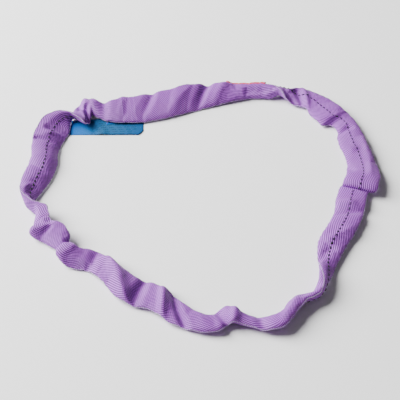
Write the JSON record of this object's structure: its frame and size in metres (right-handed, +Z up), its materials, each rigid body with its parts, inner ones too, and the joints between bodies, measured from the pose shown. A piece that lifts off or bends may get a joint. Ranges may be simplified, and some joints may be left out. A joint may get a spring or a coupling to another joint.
{
  "type": "round sling",
  "caption": "Endless soft lifting sling: a woven tubular sleeve over a core of parallel yarn turns, laid out as a loose loop, with a sewn-in label flap.",
  "frame": {"origin": "middle of the loop's box, on the floor that the sling lies on", "axes": "+Z up from the floor; the label is on the -X, +Y part of the loop and its free edge faces -Y"},
  "size_m": [0.653, 0.6375, 0.0178],
  "materials": {
    "sleeve_cloth": "violet diagonal twill weave, soft satin sheen",
    "marker_thread": "black running thread, matt",
    "catch_thread": "pale violet twisted thread",
    "sewing_thread": "violet twisted thread",
    "core_yarn": "undyed white multifilament yarn",
    "binding_tape": "plain woven tape",
    "label_cloth": "blue printed polyester cloth",
    "label_film": "clear glossy film over the label",
    "tag_cloth": "red woven strip"
  },
  "bodies": {
    "sling": {"cover_sleeve": "sleeve_cloth", "joint_stitching": "sewing_thread", "marker_thread": "marker_thread", "catch_thread_inner": "catch_thread", "catch_thread_outer": "catch_thread", "core_lower_turn_1": "core_yarn", "core_lower_turn_2": "core_yarn", "core_lower_turn_3": "core_yarn", "core_lower_turn_4": "core_yarn", "core_lower_turn_5": "core_yarn", "core_lower_turn_6": "core_yarn", "core_upper_turn_1": "core_yarn", "core_upper_turn_2": "core_yarn", "core_upper_turn_3": "core_yarn", "core_upper_turn_4": "core_yarn", "core_upper_turn_5": "core_yarn", "core_upper_turn_6": "core_yarn", "lead_end_tape": "binding_tape", "tail_end_tape": "binding_tape", "label_hem": "label_cloth", "label_stitching": "sewing_thread", "side_tag": "tag_cloth", "side_tag_stitching": "sewing_thread"},
    "label_flap": {"label_sheet": "label_cloth", "label_film": "label_film"}
  },
  "joints": [
    {"name": "label_lift", "type": "hinge", "parent": "sling", "child": "label_flap", "pos_m": [-0.20728, 0.19573, 0.00035], "axis": [-0.9923, -0.124, 0], "range_deg": [0, 25]}
  ]
}
